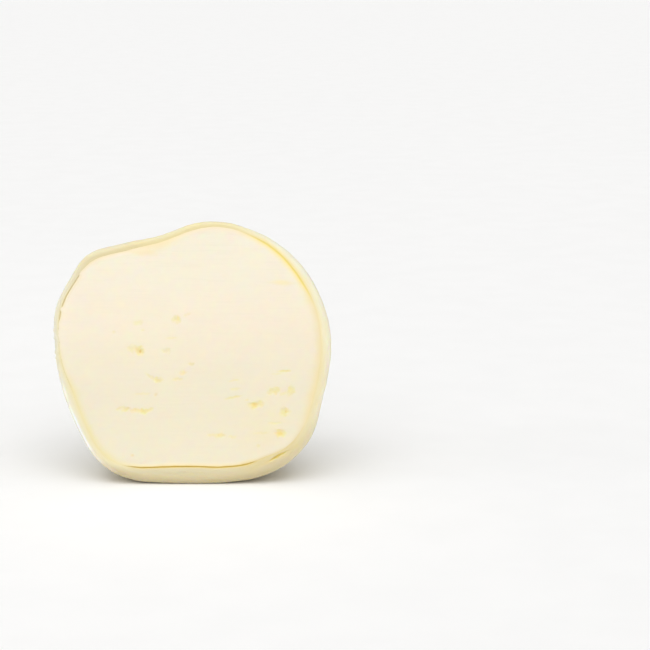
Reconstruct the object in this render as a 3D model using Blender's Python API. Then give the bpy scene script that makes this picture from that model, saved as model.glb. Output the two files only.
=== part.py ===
"""Half of a manteca cheese, cut through upright.

A casing of stretched curd is closed round a core of butter. The half stands on its sagged sole and leans back
a little, with the cut face towards -Y. Both pieces are built in the cut face's own frame, in metres: X to the
right along the face, Z up it, Y behind it, and the origin at the middle of the ball that the cheese began as.
"""

import math

import bmesh
import bpy

# The whole
BALL_RADIUS = 0.0547
LEAN = math.radians(6.0)
SOLE_BELOW_MIDDLE = 0.0540
SOLE_BLEND = 0.0016

# Swells and dents of the outside: bearing round the cut face in degrees from the right, angle behind the face,
# spread round the face, spread behind it, and height before the swell fades towards the back
SWELLS = {
    "right shoulder": (37, 0, 21, 40, 0.0023),
    "saddle in the top": (105.5, 0, 13, 34, -0.0057),
    "left shoulder, upper": (138, 0, 7, 26, 0.0023),
    "left shoulder, lower": (156, 0, 13, 36, 0.0030),
    "left heel": (233, 0, 13, 30, 0.0042),
    "slack over the sole": (268, 4, 30, 14, -0.0016),
    "lifted, right of the sole": (284, 0, 7, 24, -0.0005),
    "right heel": (314, 0, 16, 34, 0.0048),
    "fullness of the right side": (2, 0, 14, 30, 0.0010),
    "right heel, upper": (326, 0, 7, 24, 0.0006),
    "right shoulder, dip": (65, 0, 5, 20, -0.0003),
    "left of the saddle, dip": (122, 0, 5, 20, -0.0004),
    "left shoulder, dip": (147, 0, 5, 20, -0.0004),
    "fullness of the left side": (166, 0, 6, 24, 0.0003),
    "sagged foot behind": (267, 44, 32, 22, 0.0130),
    "hollow in the back, upper right": (55, 46, 24, 18, -0.0034),
    "slack back, left": (190, 48, 26, 16, 0.0030),
}

# Thickness of the casing at the cut, and how it grows by bearing: bearing, spread and growth
CASING_THIN = 0.0021
CASING_GROWTH = {
    "under the sole": (276, 32, 0.0050),
    "left of the sole": (250, 10, 0.0005),
    "right side": (352, 13, 0.0018),
    "upper right": (32, 15, 0.0019),
    "top": (112, 12, 0.0005),
    "lower left": (203, 12, 0.0014),
    "right, by the middle": (6, 9, 0.0006),
    "top, right of the middle": (87, 9, 0.0005),
    "upper left": (131, 11, 0.0012),
    "left, by the middle": (181, 5, -0.0004),
    "left, under the middle": (197, 6, 0.0004),
    "lower left, low": (216, 5, 0.0004),
    "under the butter, left": (255, 8, 0.0004),
    "under the butter, middle": (268, 7, 0.0004),
    "under the butter, right": (284, 5, -0.0003),
    "round the crack, lower right": (304.5, 4.5, 0.0013),
    "lower right": (322, 13, 0.0014),
}
CASING_BEHIND = 0.0042

# Edges at the cut
LIP_RADIUS = 0.0030
LIP_SHARE = 0.55
CASING_INNER_ROUND = 0.0004
BUTTER_ROUND = 0.0009
CREVICE = 0.0003

# Tears that the knife left in the butter: place across and up the face, length, height, depth and turn in degrees
TEARS = {
    "left, pale patch": (-0.0238, 0.0016, 0.0044, 0.0026, 0.0012, 0),
    "left, its dark core": (-0.0209, 0.0010, 0.0036, 0.0030, 0.0024, 0),
    "orange, lower right": (0.0258, -0.0210, 0.0058, 0.0030, 0.0022, 6),
    "right of it": (0.0372, -0.0239, 0.0038, 0.0034, 0.0018, 35),
    "lowest right": (0.0353, -0.0328, 0.0042, 0.0030, 0.0016, 0),
    "upper right of those": (0.0330, -0.0153, 0.0054, 0.0025, 0.0013, 14),
    "small, far right": (0.0397, -0.0154, 0.0036, 0.0028, 0.0011, 60),
    "curved, lower left": (-0.0150, -0.0106, 0.0052, 0.0018, 0.0014, -20),
    "over the middle": (-0.0060, 0.0136, 0.0034, 0.0026, 0.0015, 0),
    "its tail": (-0.0018, 0.0156, 0.0028, 0.0012, 0.0007, 24),
    "long tear": (-0.0232, -0.0234, 0.0142, 0.0016, 0.0012, 0),
    "blob on the long tear, left": (-0.0270, -0.0230, 0.0034, 0.0022, 0.0018, 0),
    "blob on the long tear, right": (-0.0200, -0.0238, 0.0040, 0.0021, 0.0016, 4),
}

# The crack in the thick of the casing, lower right, in the same terms
CASING_CRACK = (0.0345, -0.0422, 0.0082, 0.0008, 0.0012, 30)

# Fineness
SIDES = 80
OUTSIDE_ROWS = 18
LIP_ROWS = 4
INNER_EDGE_ROWS = 2
INSIDE_ROWS = 12
BUTTER_EDGE_ROWS = 3
CUTTER_SIDES = 12
CUTTER_RINGS = 8
SHARP_ANGLE = math.radians(40)

# Looks: colour, roughness, and how far light enters
CASING_LOOK = ((0.83, 0.76, 0.53), 0.32, 0.004)
BUTTER_LOOK = ((0.93, 0.86, 0.68), 0.45, 0.006)


def clear_scene():
    for obj in list(bpy.data.objects):
        bpy.data.objects.remove(obj, do_unlink=True)


def bell(gap, spread):
    return math.exp(-0.5 * (gap / spread) ** 2)


def bearing_gap(bearing, other):
    """The signed turn from one bearing to another, in degrees."""
    return (bearing - other + 180) % 360 - 180


def outer_radius(bearing, behind):
    """Distance from the middle to the outside, by bearing round the face and angle behind it, in degrees."""
    radius = BALL_RADIUS
    narrowing = math.cos(math.radians(behind))
    for centre, centre_behind, spread, spread_behind, height in SWELLS.values():
        across = bearing_gap(bearing, centre) * narrowing
        rise = height * bell(across, spread) * bell(behind - centre_behind, spread_behind)
        radius += rise * narrowing**2
    return radius


def casing_thickness(bearing, behind):
    at_cut = CASING_THIN
    for centre, spread, growth in CASING_GROWTH.values():
        at_cut += growth * bell(bearing_gap(bearing, centre), spread)
    share = math.sin(math.radians(behind)) ** 2
    return at_cut * (1 - share) + CASING_BEHIND * share


def raised_to_sole(point, floor):
    """The point, raised along the face where it lies under the sole's plane, with a short rounded changeover."""
    x, y, z = point
    height = z * math.cos(LEAN) - y * math.sin(LEAN) + floor
    if height <= -SOLE_BLEND:
        raised = 0.0
    elif height >= SOLE_BLEND:
        raised = height
    else:
        raised = (height + SOLE_BLEND) ** 2 / (4 * SOLE_BLEND)
    return (x, y, z + (raised - height) / math.cos(LEAN))


def shell_point(bearing, depth, inset):
    """A point on the outside, or inset from it, at this depth behind the cut."""
    rim = outer_radius(bearing, 0)
    behind = math.degrees(math.asin(min(1.0, depth / rim)))
    radius = outer_radius(bearing, behind)
    across = math.sqrt(max(radius**2 - depth**2, 0.0)) - inset
    turn = math.radians(bearing)
    point = (across * math.cos(turn), depth, across * math.sin(turn))
    return raised_to_sole(point, SOLE_BELOW_MIDDLE - inset)


def dome_point(bearing, behind, inset):
    """A point on the outside by its angle behind the face, or below it by the inset."""
    radius = outer_radius(bearing, behind) - inset
    turn = math.radians(bearing)
    back = math.radians(behind)
    across = radius * math.cos(back)
    point = (across * math.cos(turn), radius * math.sin(back), across * math.sin(turn))
    return raised_to_sole(point, SOLE_BELOW_MIDDLE - inset)


def bearings():
    return [360 * side / SIDES for side in range(SIDES)]


def angles_behind(bearing, first_depth, rows):
    """Angles from the one at first_depth back towards the pole, which is left out."""
    first = math.degrees(math.asin(first_depth / outer_radius(bearing, 0)))
    return [first + (90 - first) * row / rows for row in range(rows)]


def casing_section(bearing):
    """One bearing's section of the casing, from near the outer pole round the lip to near the inner pole."""
    thickness = casing_thickness(bearing, 0)
    lip = min(LIP_RADIUS, LIP_SHARE * thickness)
    points = [dome_point(bearing, a, 0) for a in reversed(angles_behind(bearing, lip, OUTSIDE_ROWS))]
    for row in range(1, LIP_ROWS + 1):
        turn = math.pi / 2 * row / LIP_ROWS
        points.append(shell_point(bearing, lip * (1 - math.sin(turn)), lip * (1 - math.cos(turn))))
    for row in range(INNER_EDGE_ROWS + 1):
        turn = math.pi / 2 * row / INNER_EDGE_ROWS
        depth = CASING_INNER_ROUND * (1 - math.cos(turn))
        inset = thickness - CASING_INNER_ROUND * (1 - math.sin(turn))
        points.append(shell_point(bearing, depth, inset))
    inside = angles_behind(bearing, BUTTER_ROUND, INSIDE_ROWS)
    points += [dome_point(bearing, a, casing_thickness(bearing, a)) for a in inside]
    return points


def butter_section(bearing):
    """One bearing's section of the butter, from near the pole behind to the edge of the cut face."""
    inset = casing_thickness(bearing, 0) + CREVICE
    points = []
    for angle in reversed(angles_behind(bearing, BUTTER_ROUND, INSIDE_ROWS)):
        points.append(dome_point(bearing, angle, casing_thickness(bearing, angle) + CREVICE))
    for row in range(1, BUTTER_EDGE_ROWS + 1):
        turn = math.pi / 2 * row / BUTTER_EDGE_ROWS
        depth = BUTTER_ROUND * (1 - math.sin(turn))
        points.append(shell_point(bearing, depth, inset + BUTTER_ROUND * (1 - math.cos(turn))))
    return points


def lofted(name, sections, first_pole, last_pole):
    """A closed body through the same number of points of each section, with a fan at either pole."""
    mesh = bpy.data.meshes.new(name)
    shape = bmesh.new()
    loops = [[shape.verts.new(point) for point in section] for section in sections]
    first = shape.verts.new(first_pole)
    last = shape.verts.new(last_pole)
    for side, loop in enumerate(loops):
        beside = loops[(side + 1) % len(loops)]
        shape.faces.new((first, beside[0], loop[0]))
        for row in range(len(loop) - 1):
            shape.faces.new((loop[row], beside[row], beside[row + 1], loop[row + 1]))
        shape.faces.new((loop[-1], beside[-1], last))
    bmesh.ops.triangulate(shape, faces=shape.faces, quad_method="SHORT_EDGE")
    bmesh.ops.recalc_face_normals(shape, faces=shape.faces)
    shape.to_mesh(mesh)
    shape.free()
    obj = bpy.data.objects.new(name, mesh)
    bpy.context.scene.collection.objects.link(obj)
    return obj


def curd_or_butter(name, look):
    colour, roughness, depth = look
    material = bpy.data.materials.new(name)
    material.use_nodes = True
    shader = material.node_tree.nodes["Principled BSDF"]
    shader.inputs["Base Color"].default_value = (*colour, 1.0)
    shader.inputs["Roughness"].default_value = roughness
    shader.inputs["Metallic"].default_value = 0.0
    shader.inputs["Subsurface Weight"].default_value = 1.0
    shader.inputs["Subsurface Scale"].default_value = depth
    return material


def finish(obj, material, parent):
    obj.data.materials.append(material)
    obj.data.shade_smooth()
    obj.data.set_sharp_from_angle(angle=SHARP_ANGLE)
    obj.parent = parent


def hollow_cutter(name, place, collection):
    """A squashed ball that lies in the cut face, to be taken out of what it touches."""
    across, up, length, height, depth, turn = place
    mesh = bpy.data.meshes.new(name)
    shape = bmesh.new()
    bmesh.ops.create_uvsphere(shape, u_segments=CUTTER_SIDES, v_segments=CUTTER_RINGS, radius=1.0)
    bmesh.ops.scale(shape, vec=(length / 2, depth, height / 2), verts=shape.verts)
    shape.to_mesh(mesh)
    shape.free()
    cutter = bpy.data.objects.new(name, mesh)
    cutter.location = (across, 0.0, up)
    cutter.rotation_euler = (0.0, -math.radians(turn), 0.0)
    cutter.hide_render = True
    cutter.display_type = "WIRE"
    collection.objects.link(cutter)
    return cutter


def cutter_collection(name):
    collection = bpy.data.collections.new(name)
    bpy.context.scene.collection.children.link(collection)
    return collection


def take_out(obj, collection):
    cut = obj.modifiers.new("hollows", "BOOLEAN")
    cut.operation = "DIFFERENCE"
    cut.solver = "EXACT"
    cut.operand_type = "COLLECTION"
    cut.collection = collection


def make_casing(parent):
    sections = [casing_section(bearing) for bearing in bearings()]
    outer_pole = dome_point(0, 90, 0)
    inner_pole = dome_point(0, 90, casing_thickness(0, 90))
    casing = lofted("casing", sections, outer_pole, inner_pole)
    finish(casing, curd_or_butter("stretched curd", CASING_LOOK), parent)
    cracks = cutter_collection("casing cracks")
    hollow_cutter("crack in the casing", CASING_CRACK, cracks).parent = parent
    take_out(casing, cracks)
    return casing


def make_butter(parent):
    sections = [butter_section(bearing) for bearing in bearings()]
    pole = dome_point(0, 90, casing_thickness(0, 90) + CREVICE)
    butter = lofted("butter", sections, pole, (0.0, 0.0, 0.0))
    finish(butter, curd_or_butter("butter", BUTTER_LOOK), parent)
    tears = cutter_collection("butter tears")
    for name, place in TEARS.items():
        hollow_cutter(f"tear, {name}", place, tears).parent = parent
    take_out(butter, tears)
    return butter


def stand(parent, casing):
    """Leans the half back and puts the middle of its bounding box's foot on the origin."""
    parent.rotation_euler = (-LEAN, 0.0, 0.0)
    bpy.context.view_layer.update()
    corners = [parent.matrix_world @ vertex.co for vertex in casing.data.vertices]
    middles = [(min(c[k] for c in corners) + max(c[k] for c in corners)) / 2 for k in range(2)]
    parent.location = (-middles[0], -middles[1], SOLE_BELOW_MIDDLE)
    bpy.context.view_layer.update()


def main():
    clear_scene()
    half = bpy.data.objects.new("half", None)
    bpy.context.scene.collection.objects.link(half)
    casing = make_casing(half)
    make_butter(half)
    stand(half, casing)


main()
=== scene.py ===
"""Half of a manteca cheese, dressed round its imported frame.

The casing of stretched curd and the core of butter are built fine in the cut face's own frame, as the CAD
is: X to the right along the face, Z up it, Y behind it, from the middle of the ball that the cheese began
as. Then they are leaned back and set down where the frame's casing stands. Lengths are in metres and
bearings in degrees round the cut face, from the right and up over the top.
"""

import math
from collections import namedtuple

import bpy
import numpy as np
from bpy.props import FloatProperty, FloatVectorProperty, PointerProperty
from mathutils import Euler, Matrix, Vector, noise


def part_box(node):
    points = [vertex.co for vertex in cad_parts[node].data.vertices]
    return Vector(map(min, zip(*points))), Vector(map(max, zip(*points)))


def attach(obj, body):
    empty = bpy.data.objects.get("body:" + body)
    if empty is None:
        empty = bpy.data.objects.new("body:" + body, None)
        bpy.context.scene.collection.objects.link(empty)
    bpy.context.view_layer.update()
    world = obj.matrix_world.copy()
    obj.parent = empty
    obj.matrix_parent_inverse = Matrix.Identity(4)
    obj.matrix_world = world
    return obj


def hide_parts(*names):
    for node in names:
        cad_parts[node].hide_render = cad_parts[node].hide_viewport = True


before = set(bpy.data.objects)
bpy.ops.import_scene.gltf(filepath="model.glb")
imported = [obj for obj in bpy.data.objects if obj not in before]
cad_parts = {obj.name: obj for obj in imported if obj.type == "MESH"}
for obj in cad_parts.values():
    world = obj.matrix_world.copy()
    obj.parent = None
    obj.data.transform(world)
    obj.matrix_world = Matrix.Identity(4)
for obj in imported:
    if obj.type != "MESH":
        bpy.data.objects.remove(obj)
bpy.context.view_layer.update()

bl_info = {
    "name": "Manteca Cheese Half",
    "version": (1, 0, 0),
    "blender": (4, 5, 0),
    "location": "View3D > Sidebar > Cheese",
    "description": "Builds the casing, the butter and the stage of a butter-filled cheese, cut in half",
    "category": "Add Mesh",
}

# The whole, as the frame has it
BALL_RADIUS = 0.0547
LEAN = math.radians(6.0)
SOLE_BELOW_MIDDLE = 0.0540
SOLE_BLEND = 0.0016

# Swells and dents of the outside: bearing, angle behind the face, spread round it and behind it, and height
SWELLS = {
    "right shoulder": (37, 0, 21, 40, 0.0023),
    "saddle in the top": (105.5, 0, 13, 34, -0.0057),
    "left shoulder, upper": (138, 0, 7, 26, 0.0023),
    "left shoulder, lower": (156, 0, 13, 36, 0.0030),
    "left heel": (233, 0, 13, 30, 0.0042),
    "slack over the sole": (268, 4, 30, 14, -0.0016),
    "lifted, right of the sole": (284, 0, 7, 24, -0.0005),
    "right heel": (314, 0, 16, 34, 0.0048),
    "fullness of the right side": (2, 0, 14, 30, 0.0010),
    "right heel, upper": (326, 0, 7, 24, 0.0006),
    "right shoulder, dip": (65, 0, 5, 20, -0.0003),
    "left of the saddle, dip": (122, 0, 5, 20, -0.0004),
    "left shoulder, dip": (147, 0, 5, 20, -0.0004),
    "fullness of the left side": (166, 0, 6, 24, 0.0003),
    "sagged foot behind": (267, 44, 32, 22, 0.0130),
    "hollow in the back, upper right": (55, 46, 24, 18, -0.0034),
    "slack back, left": (190, 48, 26, 16, 0.0030),
}

# Thickness of the casing at the cut, and how it grows by bearing: bearing, spread and growth
CASING_THIN = 0.0021
CASING_GROWTH = {
    "under the sole": (276, 32, 0.0050),
    "left of the sole": (250, 10, 0.0005),
    "right side": (352, 13, 0.0018),
    "upper right": (32, 15, 0.0019),
    "top": (112, 12, 0.0005),
    "lower left": (203, 12, 0.0014),
    "right, by the middle": (6, 9, 0.0006),
    "top, right of the middle": (87, 9, 0.0005),
    "upper left": (131, 11, 0.0012),
    "left, by the middle": (181, 5, -0.0004),
    "left, under the middle": (197, 6, 0.0004),
    "lower left, low": (216, 5, 0.0004),
    "under the butter, left": (255, 8, 0.0004),
    "under the butter, middle": (268, 7, 0.0004),
    "under the butter, right": (284, 5, -0.0003),
    "round the crack, lower right": (304.5, 4.5, 0.0013),
    "lower right": (322, 13, 0.0014),
}
CASING_BEHIND = 0.0042
CASING_LIP = 0.0030

# Where the butter has come away from the casing: middle bearing, half width, softness of the ends, and gap
OPEN_STRETCHES = {
    "under the butter": (270, 30, 6, 0.00028),
    "along the lower right": (304, 10, 5, 0.00010),
    "upper right": (46, 22, 9, 0.00015),
    "top": (92, 26, 10, 0.00010),
    "upper left, by the shoulder": (134, 14, 6, 0.00010),
    "upper left": (154.5, 12, 3, 0.00028),
    "left": (184, 18, 8, 0.00014),
}

# The gap from which on the butter counts as free
FULLY_OPEN = 0.00025

# Bits of butter that still reach across the gap, upper left: bearing, spread and reach
BRIDGES = {
    "upper": (143.8, 0.8, 0.0010),
    "lower": (161.2, 0.6, 0.0010),
    "low, left": (171.5, 1.2, 0.0004),
}

# Tints along the edge of the butter: where, tone, strength and reach of the halo on the butter and then on
# the casing, and tone and strength of the line between the two, which is painted shade in the crevice
Tint = namedtuple("Tint", "middle half soft butter casing line")
EDGE_TINTS = {
    "crisp, upper right": Tint(44, 20, 10, ("gold", 0.95, 0.0010), ("gold", 0.85, 0.0010), ("line", 1.00)),
    "wide, right": Tint(8, 18, 12, ("straw", 0.90, 0.0016), ("gold", 0.42, 0.0014), ("seam", 0.35)),
    "right, low": Tint(343, 18, 10, ("straw", 0.90, 0.0017), ("straw", 0.80, 0.0018), ("seam", 0.20)),
    "smear, low right": Tint(309, 16, 9, ("olive", 0.55, 0.0007), ("olive", 0.95, 0.0024), ("brown_crevice_shade", 0.40)),
    "under the butter": Tint(271, 30, 6, ("gold", 0.60, 0.0008), ("gold", 0.30, 0.0006), ("brown_crevice_shade", 1.00)),
    "smear, low left": Tint(216, 26, 10, ("dull", 0.88, 0.0014), ("dull", 0.88, 0.0014), ("seam", 0.30)),
    "left": Tint(188, 12, 8, ("dull", 0.50, 0.0010), ("dull", 0.80, 0.0012), ("seam", 0.60)),
    "upper left, low": Tint(160, 12, 8, ("dull", 0.30, 0.0008), ("dull", 0.75, 0.0010), ("seam", 0.60)),
    "upper left": Tint(130, 17, 10, ("straw", 0.60, 0.0009), ("olive", 0.85, 0.0021), ("seam", 0.25)),
    "top": Tint(94, 30, 14, ("straw", 0.50, 0.0010), ("straw", 0.98, 0.0022), ("seam", 0.20)),
    "under the saddle": Tint(106, 12, 8, ("gold", 0.40, 0.0020), ("gold", 0.00, 0.0010), ("line", 0.00)),
}

# The tones of the halo, how far the tones of the line reach, which are painted shade in the crevice, and how
# both wander
HALO_TONES = ("gold", "straw", "dull", "olive")
CREVICE_SHADE_REACH = {"line": 0.00045, "brown_crevice_shade": 0.00028, "seam": 0.00028}
TINT_WANDER = 0.25

# Painted shade on the cut curd, greyer from the top down the left where less light falls: middle bearing,
# half width, softness and strength, and how far behind the cut it starts to fade and ends
SHADE_STRETCH = (142, 62, 16, 0.80)
SHADE_FADE = (0.003, 0.014)

# Painted shade on the outer edge of the lip, greyer, upper right: middle bearing, half width, softness and
# strength, and how far in from the outside it starts to fade and ends
LIP_SHADE = (50, 30, 10, 0.55)
LIP_SHADE_FADE = (0.0004, 0.0016)

# Tears and dents in the butter: place across and up the face, length, height, depth, turn, and yellow and
# dark shares
TEARS = {
    "left, pale patch": (-0.0240, 0.0017, 0.0042, 0.0027, 0.0007, 0, 0.50, 0.00),
    "left, yellow body": (-0.0210, 0.0012, 0.0040, 0.0032, 0.0012, 0, 0.95, 0.15),
    "left, dark core": (-0.0209, 0.0009, 0.0030, 0.0013, 0.0018, 84, 0.95, 1.00),
    "orange, lower right": (0.0249, -0.0211, 0.0040, 0.0031, 0.0016, 0, 1.00, 0.36),
    "orange, its right end": (0.0274, -0.0208, 0.0036, 0.0028, 0.0009, 15, 0.70, 0.03),
    "speck over the orange": (0.0221, -0.0192, 0.0014, 0.0007, 0.0004, 0, 0.40, 0.35),
    "right of it": (0.0372, -0.0239, 0.0038, 0.0036, 0.0011, 35, 0.75, 0.00),
    "right of it, dark spot": (0.0378, -0.0240, 0.0013, 0.0018, 0.0009, 0, 0.80, 0.60),
    "lowest right": (0.0353, -0.0328, 0.0044, 0.0031, 0.0013, 0, 1.00, 0.20),
    "left of the lowest": (0.0283, -0.0327, 0.0054, 0.0010, 0.0004, 2, 0.38, 0.00),
    "upper right of those": (0.0330, -0.0153, 0.0052, 0.0027, 0.0008, 14, 0.72, 0.05),
    "small, far right": (0.0397, -0.0154, 0.0040, 0.0031, 0.0008, 62, 0.66, 0.05),
    "far right, its tail": (0.0367, -0.0166, 0.0034, 0.0012, 0.0004, 20, 0.40, 0.00),
    "thin, right": (0.0374, -0.0073, 0.0050, 0.0009, 0.0005, 2, 0.95, 0.20),
    "thin, under it": (0.0345, -0.0085, 0.0052, 0.0008, 0.0002, 4, 0.28, 0.00),
    "slanted, lower middle": (0.0163, -0.0181, 0.0066, 0.0009, 0.0006, 12, 0.80, 0.08),
    "faint group over it": (0.0168, -0.0112, 0.0048, 0.0009, 0.0003, 12, 0.42, 0.00),
    "faint group, lower line": (0.0176, -0.0146, 0.0040, 0.0009, 0.0003, 6, 0.40, 0.00),
    "tick, falling stroke": (-0.0168, -0.0097, 0.0044, 0.0013, 0.0006, -35, 0.50, 0.03),
    "tick, blob": (-0.0142, -0.0109, 0.0040, 0.0022, 0.0010, 0, 0.82, 0.10),
    "over the middle": (-0.0060, 0.0136, 0.0036, 0.0029, 0.0010, 20, 0.72, 0.12),
    "its tail": (-0.0018, 0.0156, 0.0030, 0.0014, 0.0003, 28, 0.30, 0.00),
    "long tear, left end": (-0.0292, -0.0227, 0.0034, 0.0015, 0.0005, 8, 0.50, 0.03),
    "long tear, left blob": (-0.0270, -0.0230, 0.0036, 0.0021, 0.0009, 0, 0.75, 0.08),
    "long tear, speck": (-0.0262, -0.0223, 0.0012, 0.0009, 0.0007, 0, 0.60, 0.35),
    "long tear, middle": (-0.0232, -0.0235, 0.0048, 0.0016, 0.0007, -4, 0.72, 0.04),
    "long tear, right blob": (-0.0198, -0.0238, 0.0052, 0.0021, 0.0010, 4, 0.92, 0.14),
    "long tear, right end": (-0.0173, -0.0231, 0.0030, 0.0014, 0.0006, 22, 0.65, 0.10),
    "small, left of the middle": (-0.0102, 0.0009, 0.0034, 0.0021, 0.0006, 0, 0.40, 0.14),
    "small, over that": (-0.0083, 0.0061, 0.0040, 0.0009, 0.0002, 4, 0.35, 0.00),
    "small, middle": (-0.0003, -0.0044, 0.0022, 0.0013, 0.0005, 10, 0.55, 0.05),
    "small, under the middle": (-0.0038, -0.0081, 0.0031, 0.0017, 0.0005, 8, 0.58, 0.02),
    "small, left under it": (-0.0060, -0.0107, 0.0036, 0.0016, 0.0005, 6, 0.55, 0.03),
    "speck on a streak": (-0.0147, -0.0170, 0.0018, 0.0013, 0.0006, 40, 0.50, 0.30),
    "streak left of the speck": (-0.0205, -0.0166, 0.0070, 0.0009, 0.0002, 2, 0.32, 0.00),
    "low streak, left": (0.0080, -0.0336, 0.0046, 0.0012, 0.0003, 0, 0.45, 0.00),
    "low streak": (0.0112, -0.0336, 0.0044, 0.0016, 0.0006, 4, 0.75, 0.10),
    "low streak, right piece": (0.0163, -0.0342, 0.0034, 0.0012, 0.0003, -6, 0.45, 0.04),
    "faint, upper left": (-0.0216, 0.0124, 0.0044, 0.0019, 0.0004, 4, 0.40, 0.00),
    "speck, far left": (-0.0315, 0.0085, 0.0015, 0.0012, 0.0004, 0, 0.35, 0.10),
    "speck, upper left": (-0.0198, 0.0093, 0.0013, 0.0011, 0.0003, 0, 0.32, 0.05),
    "speck, bottom left": (-0.0245, -0.0418, 0.0015, 0.0011, 0.0005, 0, 0.50, 0.20),
    "speck, bottom right": (0.0267, -0.0378, 0.0016, 0.0012, 0.0004, 30, 0.45, 0.05),
    "thin, far right low": (0.0334, -0.0286, 0.0060, 0.0008, 0.0003, 2, 0.42, 0.00),
}

# Every tear, by distance from its middle, where 1 is its torn edge: where its hollow, yellow and dark start
# to fade and end, and the lip thrown up along its lower side. The dark is partly the butter's deeper tone
# and partly painted shade in the hollow
TEAR_HOLLOW = (0.45, 1.10)
TEAR_YELLOW = (0.50, 1.45)
TEAR_DARK = (0.10, 0.85)
TEAR_LIP_AT = 1.25
TEAR_LIP_SPREAD = 0.16
TEAR_LIP_SIDE = (0.2, -0.6)
TEAR_LIP_SHARE = 0.06

# How far a tear's outline wanders along it and across it, and how its depth and its yellow are speckled
TEAR_WANDER = (0.42, 0.65)
TEAR_EVEN = 0.85
DEPTH_SPECKLE = 0.30
YELLOW_SPECKLE = 0.55

# Smears that tint the butter and add no relief: place, length, height, turn and share. Then where they start
# to fade and end, where 1 is their edge, and how that wanders
SMEARS = {
    "under the saddle": (-0.0192, 0.0410, 0.0150, 0.0046, -4, 0.36),
    "along the saddle's edge": (-0.0141, 0.0444, 0.0090, 0.0020, 12, 0.28),
    "upper right drag": (0.0364, 0.0285, 0.0130, 0.0034, -3, 0.36),
    "lower right, broad": (0.0290, -0.0300, 0.0340, 0.0300, 30, 0.10),
    "in the orange tear": (0.0251, -0.0211, 0.0040, 0.0028, 0, 0.85),
    "in the lowest tear": (0.0353, -0.0328, 0.0036, 0.0024, 0, 0.55),
    "left of the middle, broad": (-0.0230, 0.0010, 0.0150, 0.0080, 0, 0.05),
}
SMEAR_FADE = (0.2, 1.1)
SMEAR_WANDER = 0.3

# Relief of the butter's face: its waves, its ripples, and where from its edge inwards both set in
FACE_WAVE = 0.00010
FACE_RIPPLE = 0.00004
FACE_RELIEF_FROM = (0.0, 0.002)

# The butter's edge: how its gap and its lap wander, and the feather where it is smeared on, by its drop,
# its reach in laps, how far it stands proud and its rounding
GAP_WANDER = 0.35
LAP_WANDER = 0.4
FEATHER_DROP = 0.00012
FEATHER_REACH = 1.2
FEATHER_PROUD = 0.00002
FEATHER_ROUND = 0.0001

# The crack in the thick of the casing, lower right: place, length, height and turn, its depth, how its
# sides wander, where its tone and the gold round it start to fade and end, and the gold's strength
CASING_CRACK = (0.0345, -0.0422, 0.0092, 0.0011, 30)
CRACK_DEPTH = 0.0006
CRACK_WANDER = 0.4
CRACK_FADE = (0.30, 1.15)
CRACK_GOLD_FADE = (0.6, 2.6)
CRACK_GOLD = 0.4

# Where skin gives way to cut curd, by inset from the outside, and the cut to the skin, by depth behind it
CUT_INSETS = (0.0, 0.0010)
CUT_DEPTHS = (0.0006, 0.0030)

# Where light stops scattering under the surface, by distance from the line between butter and casing
NEAR_LINE = (0.0008, 0.0026)

# Butter dragged onto the casing: its reach, how that wanders, and where in its reach it fades and ends
DRAGGED_REACH = 0.0010
DRAGGED_WANDER = 0.0007
DRAGGED_FADE = (0.2, 1.3)

# Painted shade over the foot, a darker, browner curd towards the floor, and stronger painted shade on the
# lip at the foot:
# heights over the floor at which they start to fade and end, and for the lip the same by inset from the
# outside, and its strength
FLOOR_SHADE_HEIGHTS = (0.0060, 0.0380)
FOOT_HEIGHTS = (0.0030, 0.0120)
FOOT_INSETS = (0.0010, 0.0040)
FOOT_STRENGTH = 0.6

# The wet stretch of the lip, lower left: middle bearing, half width and softness, how much of the painted
# shade over the foot it hides, and a painted highlight on it, by its inset, its spread and the noise at
# which it breaks up
WET_STRETCH = (214, 20, 6)
WET_HIDES = 0.6
HIGHLIGHT_INSET = 0.0010
HIGHLIGHT_SPREAD = 0.00045
HIGHLIGHT_PATCHES = (-0.9, 0.4)

# The skin's relief: shares of its finer and its pulled patterns, and what the cut takes of the whole
SKIN_FINE = 0.35
SKIN_PULLED = 0.30
SKIN_CUT_OFF = 0.75

# The ragged stretch of the skin, left: middle bearing, spread, depth behind the cut, its spread, and height
RAGGED_STRETCH = (177, 8, 0.0014, 0.0022, 0.0009)

# How much longer the casing's strands are than thick
STRAND_LENGTH = 12

# Uneven patterns: size of their features, which may differ by axis, and seed
PATTERNS = {
    "skin, broad": (0.016, 1),
    "skin, fine": (0.006, 2),
    "skin, pulled": ((0.0024, 0.016, 0.0024), 3),
    "skin, ragged": ((0.0030, 0.0030, 0.0013), 4),
    "strands": (0.0065, 5),
    "crack": (0.0016, 6),
    "dragged butter": (0.0030, 7),
    "oily tones": (0.0045, 8),
    "painted highlight": (0.0070, 9),
    "tears, along": (0.0021, 11),
    "tears, across": (0.0011, 12),
    "tears, speckle": (0.0006, 13),
    "smears": ((0.006, 0.006, 0.0016), 14),
    "face, waves": (0.024, 15),
    "face, ripples": ((0.010, 0.010, 0.004), 16),
    "face, drag lines": ((0.016, 0.016, 0.0008), 17),
    "butter's edge": (0.0035, 21),
}
SEED_STEP = 17.3

# Fineness of the meshes
CASING_SIDES = 480
SKIN_ROWS = 92
LIP_ROWS = 26
BAND_ROWS = 32
INNER_EDGE_ROWS = 8
INSIDE_ROWS = 10
FACE_SQUARES = 250
BUTTER_RIM_ROWS = 15
RIM_CROWDING = 1.6
GROOVE_ROWS = 3
BUTTER_BACK_ROWS = 6

# Step in bearing round the CAD's rim, and the angle behind the face at which the ball's pole lies
CAD_RIM_STEP = 0.75
POLE = 90.0

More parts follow.
